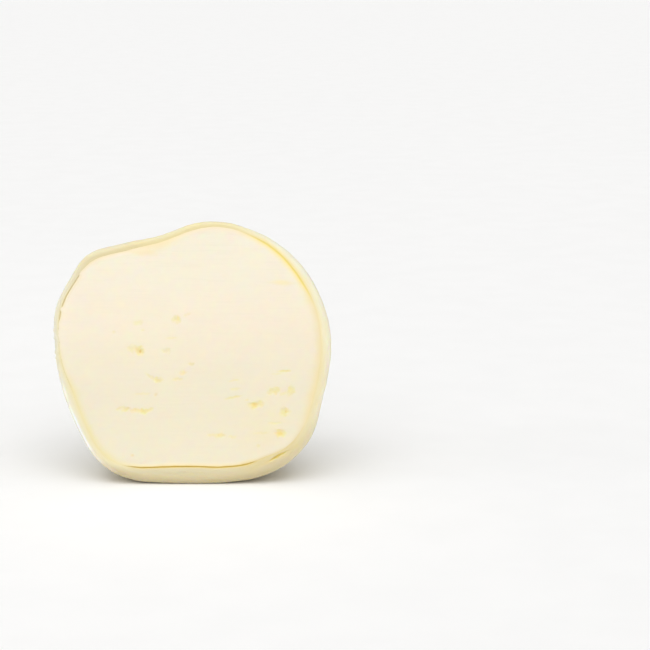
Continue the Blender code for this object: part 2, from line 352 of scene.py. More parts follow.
# The outermost stretch of the butter's face, which has rows of its own, the groove between the two pieces,
# and how far behind the cut their hidden sides start
RIM_REACH = 0.0030
GROOVE_DEPTH = 0.0005
HIDDEN_DEPTH = 0.0040
HIDDEN_GAP = 0.0003
TOUCH = 0.00005


# Properties


def colour_property(name, description, default):
    return FloatVectorProperty(
        name=name, description=description, default=default, subtype="COLOR", min=0, max=1
    )


def length_property(name, description, default):
    return FloatProperty(
        name=name, description=description, default=default, unit="LENGTH", min=0, precision=5
    )


def share_property(name, description, default):
    return FloatProperty(
        name=name, description=description, default=default, subtype="FACTOR", min=0, max=1
    )


class CreviceShadeTones:
    """Tones of the line between butter and casing, the same on both pieces: painted shade in the crevice
    between the two.
    """

    # All three are painted shade in the crevice between butter and curd
    line: colour_property("Line", "Oily tone of the line between butter and curd", (0.870, 0.715, 0.165))
    brown_crevice_shade: colour_property("Stain", "Browner tone of the line under the butter", (0.740, 0.550, 0.125))
    seam: colour_property("Seam", "Olive tone of the line where it is dry", (0.780, 0.665, 0.330))


class CheeseCasingSettings(CreviceShadeTones, bpy.types.PropertyGroup):
    lip_share: share_property("Lip share", "Share of the casing's thickness rounded at the cut", 0.66)
    lip_depth: length_property("Lip depth", "How far behind the cut the rounding starts, at most", 0.0034)
    inner_round: length_property("Inner edge", "Radius of the casing's inner edge at the cut", 0.00035)
    skin_relief: length_property("Skin relief", "Height of the soft unevenness of the skin", 0.00030)
    band_relief: length_property("Strand relief", "Height of the strands across the cut casing", 0.00006)
    skin_pale: colour_property("Pale skin", "Lighter tone of the outer skin", (0.845, 0.800, 0.630))
    skin_green: colour_property("Green skin", "Greener tone of the outer skin", (0.805, 0.750, 0.550))
    curd_pale: colour_property("Pale curd", "Lighter tone of the cut curd", (0.890, 0.835, 0.690))
    curd_green: colour_property("Green curd", "Greener tone of the cut curd", (0.850, 0.795, 0.610))
    # Painted shade: greyer cut curd, top and left, and on the lip's edge, upper right
    grey_shade: colour_property("Grey curd", "Tone of the cut curd, top and left", (0.755, 0.725, 0.605))
    # Painted shade: darker, browner curd towards the floor
    shade_near_floor: colour_property("Damp curd", "Tone of the damp curd over the foot", (0.700, 0.630, 0.425))
    # Painted shade on the lip at the foot
    foot: colour_property("Foot", "Browner tone of the lip at the foot", (0.560, 0.465, 0.270))
    crack: colour_property("Crack", "Tone in the crack, lower right", (0.780, 0.640, 0.180))
    # Painted highlight along the wet lip, lower left
    painted_highlight: colour_property("Film", "Tone of the painted highlight, lower left", (0.980, 0.975, 0.940))
    smear: colour_property("Smear", "Butter that the knife dragged onto the curd", (0.880, 0.800, 0.580))
    gold: colour_property("Gold", "Oily tone beside the butter, right and foot", (0.940, 0.775, 0.350))
    straw: colour_property("Straw", "Oily tone beside the butter, top and right", (0.820, 0.700, 0.370))
    dull: colour_property("Dull yellow", "Oily tone where the butter is smeared on", (0.825, 0.735, 0.435))
    olive: colour_property("Olive", "Oily tone, lower right and upper left", (0.745, 0.630, 0.340))
    roughness: share_property("Roughness", "Roughness of the wet curd", 0.42)


class CheeseButterSettings(CreviceShadeTones, bpy.types.PropertyGroup):
    edge_round: length_property("Edge rounding", "Radius of the butter's edge where it is free", 0.00035)
    lap: length_property("Lap", "How far the butter is dragged over the casing where it is smeared", 0.0006)
    tear_depth: share_property("Tear depth", "Share of the tears' full depth", 0.34)
    drag_relief: length_property("Drag relief", "Height of the lines that the knife dragged", 0.00003)
    # Painted light: the butter paler towards its top
    cream_lit: colour_property("Pale butter", "Tone of the butter towards its top", (0.970, 0.858, 0.722))
    # Painted shade: the butter darker and warmer towards its foot; also the tone of the drag lines
    cream_shade_and_drag: colour_property("Warm butter", "Tone of the butter towards its foot", (0.853, 0.793, 0.638))
    torn: colour_property("Torn butter", "Tone of torn butter", (0.868, 0.778, 0.368))
    # Partly the torn butter's deeper tone, partly painted shade deep in the hollow
    amber_and_hollow_shade: colour_property("Amber", "Tone deep in a tear", (0.790, 0.570, 0.190))
    gold: colour_property("Gold", "Oily tone of the butter's edge and smears", (0.985, 0.810, 0.355))
    straw: colour_property("Straw", "Oily tone of the butter's edge, top and right", (0.860, 0.725, 0.400))
    dull: colour_property("Dull yellow", "Oily tone where the butter is smeared on", (0.835, 0.735, 0.370))
    olive: colour_property("Olive", "Oily tone of the butter's edge, lower right", (0.715, 0.580, 0.275))
    roughness: share_property("Roughness", "Roughness of the cut butter", 0.46)


class CheeseStageSettings(bpy.types.PropertyGroup):
    floor_colour: colour_property("Floor", "Colour of the floor", (0.960, 0.957, 0.950))
    sky: FloatProperty(
        name="Sky", description="Strength of the even light from all round", default=0.30, min=0
    )
    camera_distance: length_property("Camera distance", "From the cut face to the lens", 0.80)
    elevation: FloatProperty(
        name="Elevation",
        description="Height of the view above the horizon",
        default=math.radians(12),
        subtype="ANGLE",
    )


# Shape of the cheese


def bell(gap, spread):
    return np.exp(-0.5 * (gap / spread) ** 2)


def eased(low, high, value):
    """0 below low, 1 above high, and a smooth rise between."""
    share = np.clip((value - low) / (high - low), 0.0, 1.0)
    return share * share * (3 - 2 * share)


def bearing_gap(bearing, other):
    """The signed turn from one bearing to another, in degrees."""
    return (bearing - other + 180) % 360 - 180


def stretch_share(bearing, middle, half, soft):
    """1 inside a stretch of bearings, 0 outside it, with soft ends."""
    return 1 - eased(half - soft, half + soft, np.abs(bearing_gap(bearing, middle)))


def outer_radius(bearing, behind):
    radius = BALL_RADIUS
    narrowing = np.cos(np.radians(behind))
    for centre, centre_behind, spread, spread_behind, height in SWELLS.values():
        across = bearing_gap(bearing, centre) * narrowing
        rise = height * bell(across, spread) * bell(behind - centre_behind, spread_behind)
        radius = radius + rise * narrowing**2
    return radius


def casing_thickness(bearing, behind):
    at_cut = CASING_THIN
    for centre, spread, growth in CASING_GROWTH.values():
        at_cut = at_cut + growth * bell(bearing_gap(bearing, centre), spread)
    share = np.sin(np.radians(behind)) ** 2
    return at_cut * (1 - share) + CASING_BEHIND * share


def gap_width(bearing):
    """Width of the gap between butter and casing at the cut."""
    return np.max([gap * stretch_share(bearing, *place) for *place, gap in OPEN_STRETCHES.values()], axis=0)


def openness(bearing):
    """0 where the butter is smeared onto the casing, 1 where the two stand apart."""
    return eased(0.0, 1.0, gap_width(bearing) / FULLY_OPEN)


def bridge_reach(bearing):
    """How far bits of butter reach across the gap."""
    return sum(reach * bell(bearing_gap(bearing, at), spread) for at, spread, reach in BRIDGES.values())


def raised_to_sole(points, floor):
    """The points, raised along the face where they lie under the sole, with a short rounded changeover."""
    height = points[..., 2] * math.cos(LEAN) - points[..., 1] * math.sin(LEAN) + floor
    changeover = (height + SOLE_BLEND) ** 2 / (4 * SOLE_BLEND)
    raised = np.where(height <= -SOLE_BLEND, 0.0, np.where(height >= SOLE_BLEND, height, changeover))
    points = points.copy()
    points[..., 2] += (raised - height) / math.cos(LEAN)
    return points


def round_the_face(bearing, across, depth):
    turn = np.radians(bearing)
    return np.stack([across * np.cos(turn), depth + 0 * turn, across * np.sin(turn)], axis=-1)


def rim_points(bearing, depth, inset):
    """Points at this depth behind the cut, inset from the outside."""
    behind = np.degrees(np.arcsin(np.clip(depth / outer_radius(bearing, 0), 0, 1)))
    across = np.sqrt(np.maximum(outer_radius(bearing, behind) ** 2 - depth**2, 0)) - inset
    return raised_to_sole(round_the_face(bearing, across, depth), SOLE_BELOW_MIDDLE - inset)


def dome_points(bearing, behind, inset):
    """Points at this angle behind the face, under the outside by the inset."""
    radius = outer_radius(bearing, behind) - inset
    back = np.radians(behind)
    points = round_the_face(bearing, radius * np.cos(back), radius * np.sin(back))
    return raised_to_sole(points, SOLE_BELOW_MIDDLE - inset)


def dome_rows(bearing, first_depth, rows, inset_by_angle):
    """Rows of points from the one at first_depth back towards the pole, which is left out."""
    first = np.degrees(np.arcsin(first_depth / outer_radius(bearing, 0)))
    angles = [first + (POLE - first) * row / rows for row in range(rows)]
    return [dome_points(bearing, angle, inset_by_angle(bearing, angle)) for angle in angles]


def pattern(points, name):
    """Smooth noise from -1 to 1 over the points, by one of the uneven patterns."""
    size, seed = PATTERNS[name]
    scaled = points / np.asarray(size) + seed * SEED_STEP
    return np.array([noise.noise(Vector(point)) for point in scaled.tolist()])


def to_world(points):
    """Leans the points back and sets them down where the frame's casing stands, none under its foot."""
    lean = np.array(Euler((-LEAN, 0, 0)).to_matrix())
    placed = points @ lean.T + np.array(middle_in_world())
    placed[:, 2] = np.maximum(placed[:, 2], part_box("casing")[0].z)
    return placed


def middle_in_world():
    """Where the middle of the ball lies, worked out from the box of the frame's casing."""
    bearing = np.arange(0, 360, CAD_RIM_STEP)
    rim = rim_points(bearing, 0.0, 0.0)
    low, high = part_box("casing")
    across = (low.x + high.x) / 2 - (rim[:, 0].min() + rim[:, 0].max()) / 2
    lowest_front = (rim[:, 2].min() + CASING_LIP) * math.sin(LEAN)
    return (across, low.y - lowest_front, low.z + SOLE_BELOW_MIDDLE)


# Meshes


def loop_faces(first, second):
    """Quads between two closed loops of vertex numbers."""
    return np.stack([first, np.roll(first, -1), np.roll(second, -1), second], axis=-1)


def fan_faces(loop, pole):
    return np.stack([loop, np.roll(loop, -1), np.full_like(loop, pole)], axis=-1)


def closed_mesh(name, points, faces):
    mesh = bpy.data.meshes.new(name)
    mesh.from_pydata(points.tolist(), [], faces)
    mesh.update()
    mesh.shade_smooth()
    return mesh


def vertex_normals(mesh):
    normals = np.zeros(len(mesh.vertices) * 3, np.float32)
    mesh.vertex_normals.foreach_get("vector", normals)
    return normals.reshape(-1, 3).astype(float)


def set_points(mesh, points):
    mesh.vertices.foreach_set("co", points.astype(np.float32).ravel())
    mesh.update()


def add_mask(mesh, name, values):
    layer = mesh.attributes.new(name, "FLOAT", "POINT")
    layer.data.foreach_set("value", values.astype(np.float32))


def add_vectors(mesh, name, vectors):
    layer = mesh.attributes.new(name, "FLOAT_VECTOR", "POINT")
    layer.data.foreach_set("vector", vectors.astype(np.float32).ravel())


def place_piece(name, mesh, node, material):
    """Puts the piece in the scene, on the frame's body, in place of its CAD node."""
    mesh.materials.append(material)
    piece = bpy.data.objects.new(name, mesh)
    bpy.context.scene.collection.objects.link(piece)
    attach(piece, "root")
    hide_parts(node)
    return piece


def mark_distance(points, place):
    """How far points of the face lie from the middle of a mark, where 1 is its torn edge."""
    across, up, length, height, turn = place
    turn = math.radians(turn)
    right = points[:, 0] - across
    above = points[:, 2] - up
    along = (right * math.cos(turn) + above * math.sin(turn)) / (length / 2)
    over = (above * math.cos(turn) - right * math.sin(turn)) / (height / 2)
    return along, over


# Casing


def casing_rows(settings):
    """Rows from the outer pole round the lip to the inner pole, each with its inset from the outside."""
    bearing = np.arange(CASING_SIDES) * 360 / CASING_SIDES
    thickness = casing_thickness(bearing, 0)
    lip = settings.lip_share * thickness
    lip_depth = np.minimum(settings.lip_depth, lip)
    skin = dome_rows(bearing, lip_depth, SKIN_ROWS, lambda b, a: 0.0)
    rows = [(row, 0 * bearing) for row in reversed(skin)]
    for step in range(1, LIP_ROWS + 1):
        turn = math.pi / 2 * step / LIP_ROWS
        inset = lip * (1 - math.cos(turn))
        rows.append((rim_points(bearing, lip_depth * (1 - math.sin(turn)), inset), inset))
    inner = settings.inner_round
    for step in range(1, BAND_ROWS + 1):
        inset = lip + (thickness - inner - lip) * step / BAND_ROWS
        rows.append((rim_points(bearing, 0 * bearing, inset), inset))
    for step in range(1, INNER_EDGE_ROWS + 1):
        turn = math.pi / 2 * step / INNER_EDGE_ROWS
        inset = thickness - inner * (1 - math.sin(turn))
        rows.append((rim_points(bearing, inner * (1 - math.cos(turn)), inset), inset))
    rows.append((rim_points(bearing, GROOVE_DEPTH + 0 * bearing, thickness), thickness))
    inside = dome_rows(bearing, HIDDEN_DEPTH, INSIDE_ROWS, casing_thickness)
    rows += [(row, thickness) for row in inside]
    return bearing, rows


def casing_mesh(settings):
    bearing, rows = casing_rows(settings)
    points = np.concatenate([row for row, _ in rows])
    insets = np.concatenate([inset for _, inset in rows])
    bearings = np.tile(bearing, len(rows))
    poles = [dome_points(np.array([0.0]), POLE, inset) for inset in (0.0, CASING_BEHIND)]
    loops = np.arange(len(points)).reshape(len(rows), CASING_SIDES)
    faces = [face for first, second in zip(loops, loops[1:]) for face in loop_faces(first, second).tolist()]
    faces += fan_faces(loops[0][::-1], len(points)).tolist()
    faces += fan_faces(loops[-1], len(points) + 1).tolist()
    points = np.concatenate([points, *poles])
    insets = np.append(insets, [0.0, CASING_BEHIND])
    bearings = np.append(bearings, [0.0, 0.0])
    return closed_mesh("casing_curd", points, faces), points, insets, bearings


def shown_share(points, insets):
    """1 on the cut band, 0 on the skin, and between the two round the lip."""
    return eased(*CUT_INSETS, insets) * (1 - eased(*CUT_DEPTHS, points[:, 1]))


def casing_relief(points, insets, bearings, settings):
    """How far each point of the casing stands proud of the smooth shape."""
    cut = shown_share(points, insets)
    skin = pattern(points, "skin, broad") + SKIN_FINE * pattern(points, "skin, fine")
    skin += SKIN_PULLED * pattern(points, "skin, pulled")
    rise = settings.skin_relief * skin * (1 - SKIN_CUT_OFF * cut)
    middle, spread, depth, depth_spread, height = RAGGED_STRETCH
    here = bell(bearing_gap(bearings, middle), spread) * bell(points[:, 1] - depth, depth_spread)
    rise += height * here * np.maximum(pattern(points, "skin, ragged"), 0)
    rise += settings.band_relief * pattern(strand_vectors(insets, bearings), "strands") * cut
    return rise - CRACK_DEPTH * crack_share(points, CRACK_FADE) * cut


def crack_share(points, fade):
    """1 down in the casing's crack and 0 away from it, with where that starts to fade and ends."""
    along, over = mark_distance(points, CASING_CRACK)
    return 1 - eased(*fade, np.hypot(along, over + CRACK_WANDER * pattern(points, "crack")))


def strand_vectors(insets, bearings):
    """Coordinates in which the casing's strands run round the rim: long along it and fine across it."""
    turn = np.radians(bearings)
    across = STRAND_LENGTH * insets
    return np.stack([BALL_RADIUS * np.cos(turn), BALL_RADIUS * np.sin(turn), across], axis=-1)


def edge_masks(points, bearings, from_edge, piece):
    """Shares of the halo's and the line's tones on this piece, at this distance from the butter's edge."""
    distance = from_edge * (1 + TINT_WANDER * pattern(points, "oily tones"))
    masks = {tone: np.zeros(len(bearings)) for tone in (*HALO_TONES, *CREVICE_SHADE_REACH)}
    for tint in EDGE_TINTS.values():
        share = stretch_share(bearings, tint.middle, tint.half, tint.soft)
        tone, strength, reach = getattr(tint, piece)
        masks[tone] = np.maximum(masks[tone], strength * share * bell(distance, reach))
        # The line's tones: painted shade in the crevice
        tone, strength = tint.line
        masks[tone] = np.maximum(masks[tone], strength * share * np.exp(-distance / CREVICE_SHADE_REACH[tone]))
    return masks


def casing_tints(points, placed, insets, bearings):
    """Shares of each tone of the casing at its points."""
    cut = shown_share(points, insets)
    wet = stretch_share(bearings, *WET_STRETCH)
    from_butter = np.maximum(casing_thickness(bearings, 0) - insets, 0)
    masks = edge_masks(points, bearings, from_butter, "casing")
    dragged = DRAGGED_REACH + DRAGGED_WANDER * pattern(points, "dragged butter")
    masks["smear"] = (1 - openness(bearings)) * (1 - eased(*DRAGGED_FADE, from_butter / dragged)) * cut
    masks["near"] = 1 - eased(*NEAR_LINE, from_butter)
    masks["cut"] = cut
    masks["wet"] = wet * (1 - cut)
    # Painted highlight along the wet lip, broken into patches
    patches = eased(*HIGHLIGHT_PATCHES, pattern(points, "painted highlight"))
    masks["painted_highlight"] = wet * bell(insets - HIGHLIGHT_INSET, HIGHLIGHT_SPREAD) * patches
    masks["crack"] = crack_share(points, CRACK_FADE) * cut
    masks["gold"] = np.maximum(masks["gold"], CRACK_GOLD * crack_share(points, CRACK_GOLD_FADE) * cut)
    # Painted shade, darker towards the floor, and less of it on the wet stretch
    masks["shade_near_floor"] = (1 - eased(*FLOOR_SHADE_HEIGHTS, placed[:, 2])) * (1 - WET_HIDES * wet)
    # Painted shade on the outer lip, near the floor
    low = 1 - eased(*FOOT_HEIGHTS, placed[:, 2])
    masks["foot"] = FOOT_STRENGTH * (1 - eased(*FOOT_INSETS, insets)) * low
    # Painted shade, greyer curd top and left and on the lip's edge
    *place, strength = SHADE_STRETCH
    masks["grey_shade"] = strength * stretch_share(bearings, *place) * (1 - eased(*SHADE_FADE, points[:, 1]))
    *place, strength = LIP_SHADE
    masks["grey_shade"] += strength * stretch_share(bearings, *place) * (1 - eased(*LIP_SHADE_FADE, insets))
    return masks


def make_casing(settings):
    mesh, points, insets, bearings = casing_mesh(settings)
    rise = casing_relief(points, insets, bearings, settings)
    placed = to_world(points + vertex_normals(mesh) * rise[:, None])
    set_points(mesh, placed)
    tints = casing_tints(points, placed, insets, bearings)
    for name, values in tints.items():
        add_mask(mesh, name, values)
    add_vectors(mesh, "strand", strand_vectors(insets, bearings))
    return place_piece("casing_curd", mesh, "casing", curd_material(settings))


# Butter


def butter_inset(bearing, settings):
    """From the outside to the butter's edge at the cut, which laps onto the casing where it is smeared."""
    wander = pattern(rim_outline(bearing), "butter's edge")
    gap = gap_width(bearing) * (1 + GAP_WANDER * wander)
    lap = (1 - openness(bearing)) * settings.lap * (1 + LAP_WANDER * wander)
    return casing_thickness(bearing, 0) + gap - lap - bridge_reach(bearing)


def edge_drop(bearing, from_edge, settings):
    """How far the butter's face falls back near its edge: rounded where it is free, else a thin feather."""
    free = openness(bearing)
    short = np.maximum(settings.edge_round - from_edge, 0)
    rounded = settings.edge_round - np.sqrt(settings.edge_round**2 - short**2)
    feather = FEATHER_DROP * (1 - eased(0.0, FEATHER_REACH * settings.lap, from_edge)) - FEATHER_PROUD
    return free * rounded + (1 - free) * feather


def square_to_disc(squares):
    """A grid over a square, bent onto a disc: the distance out and the bearing of each point."""
    side = np.linspace(-1, 1, squares + 1)
    right, up = np.meshgrid(side, side)
    wide = np.abs(right) > np.abs(up)
    safe_right = np.where(right == 0, 1, right)
    safe_up = np.where(up == 0, 1, up)
    out = np.where(wide, right, up)
    bearing = np.where(wide, 45 * up / safe_right, 90 - 45 * right / safe_up)
    bearing = np.where((right == 0) & (up == 0), 0, bearing)
    return np.abs(out).ravel(), ((bearing + np.where(out < 0, 180, 0)) % 360).ravel()


def edge_loop(numbers):
    """The vertex numbers round the outside of a grid, anticlockwise."""
    return np.concatenate([numbers[0, :-1], numbers[:-1, -1], numbers[-1, :0:-1], numbers[:0:-1, 0]])


def butter_mesh(settings):
    out, bearing = square_to_disc(FACE_SQUARES)
    edge = np.linalg.norm(rim_points(bearing, 0.0, butter_inset(bearing, settings)), axis=-1)
    across = out * (edge - RIM_REACH)
    count = len(out)
    numbers = np.arange(count).reshape(FACE_SQUARES + 1, FACE_SQUARES + 1)
    corners = (numbers[:-1, :-1], numbers[:-1, 1:], numbers[1:, 1:], numbers[1:, :-1])
    faces = np.stack(corners, axis=-1).reshape(-1, 4).tolist()
    loop = edge_loop(numbers)
    round_bearing = bearing[loop]
    rows = rim_rows(round_bearing, edge[loop])
    rows += groove_rows(round_bearing, settings)
    rows += back_rows(round_bearing)
    parts = [face_points(bearing, across)]
    from_edge = [edge - across]
    for row, distance in rows:
        numbers = count + np.arange(len(row))
        faces += loop_faces(numbers, loop).tolist()
        parts.append(row)
        from_edge.append(distance)
        count += len(row)
        loop = numbers
    faces += fan_faces(loop[::-1], count).tolist()
    parts.append(dome_points(np.array([0.0]), POLE, CASING_BEHIND + HIDDEN_GAP))
    from_edge.append(np.array([-1.0]))
    bearings = np.concatenate([bearing, *[round_bearing] * len(rows), [0.0]])
    points = np.concatenate(parts)
    return closed_mesh("butter_core", points, faces), points, np.concatenate(from_edge), bearings


def rim_rows(bearing, edge):
    """Rows over the face's outermost stretch, closer and closer towards the butter's edge."""
    rows = []
    for step in range(1, BUTTER_RIM_ROWS + 1):
        left = RIM_REACH * (1 - step / BUTTER_RIM_ROWS) ** RIM_CROWDING
        rows.append((face_points(bearing, edge - left), left + 0 * edge))
    return rows


def groove_rows(bearing, settings):
    """Rows from the butter's edge down the groove to where the butter meets the casing's side."""
    inset = butter_inset(bearing, settings)
    met = casing_thickness(bearing, 0) - TOUCH
    free = openness(bearing)
    top = free * settings.edge_round + (1 - free) * FEATHER_ROUND
    rows = []
    for step in range(1, GROOVE_ROWS + 1):
        share = step / GROOVE_ROWS
        depth = top + (GROOVE_DEPTH - top) * share
        rows.append((rim_points(bearing, depth, inset + (met - inset) * share), -depth))
    return rows


def back_rows(bearing):
    """Rows of the butter's hidden side, from under the groove back towards the pole."""
    rows = dome_rows(bearing, HIDDEN_DEPTH, BUTTER_BACK_ROWS, inset_behind)
    return [(row, 0 * bearing - HIDDEN_DEPTH) for row in rows]


def inset_behind(bearing, behind):
    """From the outside to the butter's hidden side."""
    return casing_thickness(bearing, behind) + HIDDEN_GAP


def face_points(bearing, across):
    """Points of the cut face, this far from its middle on the line out to the rim at this bearing."""
    rim = rim_outline(bearing)
    return rim * (across / np.linalg.norm(rim, axis=-1))[..., None]


def rim_outline(bearing):
    return rim_points(bearing, 0.0 * bearing, 0.0 * bearing)


def torn(points):
    """Depth, yellow share and dark share of all the tears at each point of the face."""
    wander_along = TEAR_WANDER[0] * pattern(points, "tears, along")
    wander_over = TEAR_WANDER[1] * pattern(points, "tears, across")
    speckle = pattern(points, "tears, speckle")
    sunk, yellow, dark = np.zeros((3, len(points)))
    for across, up, length, height, depth, turn, yellow_share, dark_share in TEARS.values():
        along, over = mark_distance(points, (across, up, length, height, turn))
        distance = np.hypot(along + wander_along, over + wander_over)
        hollow = depth * (1 - eased(*TEAR_HOLLOW, distance)) * (TEAR_EVEN + DEPTH_SPECKLE * speckle)
        lip = bell(distance - TEAR_LIP_AT, TEAR_LIP_SPREAD) * eased(*TEAR_LIP_SIDE, over)
        sunk = np.maximum(sunk, hollow) - TEAR_LIP_SHARE * depth * lip
        halo = 1 - eased(*TEAR_YELLOW, distance)
        yellow = np.maximum(yellow, yellow_share * halo * (TEAR_EVEN + YELLOW_SPECKLE * speckle))
        dark = np.maximum(dark, dark_share * (1 - eased(*TEAR_DARK, distance)))
    return sunk, np.clip(yellow, 0, 1), np.clip(dark, 0, 1)


def smeared(points):
    """Share of the smears' tone at each point of the face."""
    share = np.zeros(len(points))
    wander = SMEAR_WANDER * pattern(points, "smears")
    for *place, strength in SMEARS.values():
        along, over = mark_distance(points, place)
        share = np.maximum(share, strength * (1 - eased(*SMEAR_FADE, np.hypot(along, over) + wander)))
    return share


def make_butter(settings):
    mesh, points, from_edge, bearings = butter_mesh(settings)
    on_face = from_edge >= 0
    from_rim = np.maximum(from_edge, 0)
    sunk, yellow, dark = (np.where(on_face, values, 0) for values in torn(points))
    relief = FACE_WAVE * pattern(points, "face, waves") + FACE_RIPPLE * pattern(points, "face, ripples")
    relief += settings.drag_relief * pattern(points, "face, drag lines")
    back = edge_drop(bearings, from_rim, settings) - relief * eased(*FACE_RELIEF_FROM, from_edge)
    back += settings.tear_depth * sunk
    moved = points.copy()
    moved[:, 1] += np.where(on_face, back, 0)
    set_points(mesh, to_world(moved))
    tints = edge_masks(points, bearings, from_rim, "butter")
    tints["gold"] = np.maximum(tints["gold"], np.where(on_face, smeared(points), 0))
    tints["torn"] = yellow
    # Partly the deeper tone of torn butter, partly painted shade in the hollow
    tints["amber_and_hollow_shade"] = dark
    tints["near"] = 1 - eased(*NEAR_LINE, from_edge)
    for name, values in tints.items():
        add_mask(mesh, name, values)
    return place_piece("butter_core", mesh, "butter", butter_material(settings))


# Materials

# Heights over the floor between which painted shade makes the butter darker and warmer in tone towards its
# foot, and the share of the clouds in that
SHADE_DOWN_FROM = 0.105
SHADE_DOWN_TO = 0.010
SHADE_DOWN_CLOUDS = 0.3


def new_material(name):
    material = bpy.data.materials.new(name)
    material.use_nodes = True
    return material, material.node_tree, material.node_tree.nodes["Principled BSDF"]


def add_node(tree, kind, **values):
    """A node with these settings: lower-case names are its own properties, others are its sockets."""
    node = tree.nodes.new(kind)
    for name, value in values.items():
        if name[0].islower():
            setattr(node, name, value)
        else:
            node.inputs[name.replace("_", " ")].default_value = value
    return node


def link(tree, source, target):
    tree.links.new(source, target)


def noise_texture(tree, vector, scale, detail, stretch=(1, 1, 1)):
    mapping = add_node(tree, "ShaderNodeMapping", Scale=stretch)
    texture = add_node(tree, "ShaderNodeTexNoise", Scale=scale, Detail=detail)
    link(tree, vector, mapping.inputs["Vector"])
    link(tree, mapping.outputs["Vector"], texture.inputs["Vector"])
    return texture.outputs["Fac"]


def narrowed(tree, value, low, high, least=0.0, most=1.0):
    """The value's stretch from low to high, spread smoothly over least to most."""
    node = add_node(tree, "ShaderNodeMapRange", interpolation_type="SMOOTHSTEP")
    for name, number in (("From Min", low), ("From Max", high), ("To Min", least), ("To Max", most)):
        node.inputs[name].default_value = number
    link(tree, value, node.inputs["Value"])
    return node.outputs["Result"]


def mixed(tree, share, first, second):
    """A colour between two, each a link or a plain colour."""
    node = add_node(tree, "ShaderNodeMix", data_type="RGBA")
    for socket, colour in ((node.inputs[6], first), (node.inputs[7], second)):
        if isinstance(colour, bpy.types.NodeSocket):
            link(tree, colour, socket)
        else:
            socket.default_value = (*colour, 1.0)
    link(tree, share, node.inputs["Factor"])
    return node.outputs[2]


def mask(tree, name):
    return add_node(tree, "ShaderNodeAttribute", attribute_name=name).outputs["Fac"]


def bumped(tree, height, distance, strength, under=None):
    node = add_node(tree, "ShaderNodeBump", Distance=distance, Strength=strength)
    link(tree, height, node.inputs["Height"])
    if under is not None:
        link(tree, under, node.inputs["Normal"])
    return node.outputs["Normal"]


def object_coordinates(tree):
    return add_node(tree, "ShaderNodeTexCoord").outputs["Object"]


def scatter_light(tree, shader, radius, scale):
    """Light scatters under the surface, save along the line between butter and curd."""
    weight = narrowed(tree, mask(tree, "near"), 0.0, 1.0, least=1.0, most=0.0)
    link(tree, weight, shader.inputs["Subsurface Weight"])
    shader.inputs["Subsurface Radius"].default_value = radius
    shader.inputs["Subsurface Scale"].default_value = scale


def tinted(tree, colour, tones, settings):
    """The colour, with each of these tones laid over it by its own mask."""
    for tone in tones:
        colour = mixed(tree, mask(tree, tone), colour, getattr(settings, tone))
    return colour


def curd_material(settings):
    material, tree, shader = new_material("stretched curd")
    place = object_coordinates(tree)
    strand = add_node(tree, "ShaderNodeAttribute", attribute_name="strand").outputs["Vector"]
    cloudy = narrowed(tree, noise_texture(tree, place, scale=70, detail=4), low=0.30, high=0.70)
    skin = mixed(tree, cloudy, settings.skin_pale, settings.skin_green)
    strands = narrowed(tree, noise_texture(tree, strand, scale=150, detail=3), low=0.32, high=0.68)
    cut = mixed(tree, strands, settings.curd_green, settings.curd_pale)
    colour = mixed(tree, mask(tree, "cut"), skin, cut)
    # Several of these tones are painted light: shade over the top and left, shade near the floor, a
    # highlight on the wet lip and shade in the crevice beside the butter
    tones = ("grey_shade", "shade_near_floor", "foot", "smear", *HALO_TONES, *CREVICE_SHADE_REACH, "crack", "painted_highlight")
    link(tree, tinted(tree, colour, tones, settings), shader.inputs["Base Color"])
    pores = noise_texture(tree, place, scale=900, detail=3)
    pulled = noise_texture(tree, place, scale=90, detail=3, stretch=(5, 1, 5))
    normal = bumped(tree, pulled, distance=0.0004, strength=0.35)
    normal = bumped(tree, pores, distance=0.0001, strength=0.35, under=normal)
    normal = bumped(tree, strands, distance=0.0001, strength=0.25, under=normal)
    link(tree, normal, shader.inputs["Normal"])
    rough = settings.roughness
    wet = narrowed(tree, pores, low=0.3, high=0.7, least=rough - 0.06, most=rough + 0.08)
    link(tree, wet, shader.inputs["Roughness"])
    scatter_light(tree, shader, radius=(1.0, 0.75, 0.35), scale=0.0035)
    coat = narrowed(tree, mask(tree, "wet"), 0.0, 1.0, least=0.04, most=0.80)
    link(tree, coat, shader.inputs["Coat Weight"])
    shader.inputs["Coat Roughness"].default_value = 0.14
    shader.inputs["IOR"].default_value = 1.38
    return material


def butter_material(settings):
    material, tree, shader = new_material("cut butter")
    place = object_coordinates(tree)
    drag = noise_texture(tree, place, scale=60, detail=3, stretch=(1, 1, 22))
    # Painted light and shade: paler towards the top, darker towards the foot
    colour = mixed(tree, shade_down(tree, place), settings.cream_lit, settings.cream_shade_and_drag)
    lines = narrowed(tree, drag, low=0.50, high=0.75, most=0.22)
    colour = mixed(tree, lines, colour, settings.cream_shade_and_drag)
    # The tones of the line are painted shade in the crevice, and the deepest tone of the tears partly
    # painted shade in their hollows
    tones = ("torn", *HALO_TONES, *CREVICE_SHADE_REACH, "amber_and_hollow_shade")
    link(tree, tinted(tree, colour, tones, settings), shader.inputs["Base Color"])
    grain = noise_texture(tree, place, scale=1400, detail=2)
    normal = bumped(tree, drag, distance=0.0001, strength=0.20)
    normal = bumped(tree, grain, distance=0.00005, strength=0.30, under=normal)
    link(tree, normal, shader.inputs["Normal"])
    rough = settings.roughness
    waxy = narrowed(tree, drag, low=0.3, high=0.7, least=rough - 0.05, most=rough + 0.07)
    link(tree, waxy, shader.inputs["Roughness"])
    scatter_light(tree, shader, radius=(1.0, 0.70, 0.30), scale=0.0012)
    shader.inputs["IOR"].default_value = 1.45
    return material


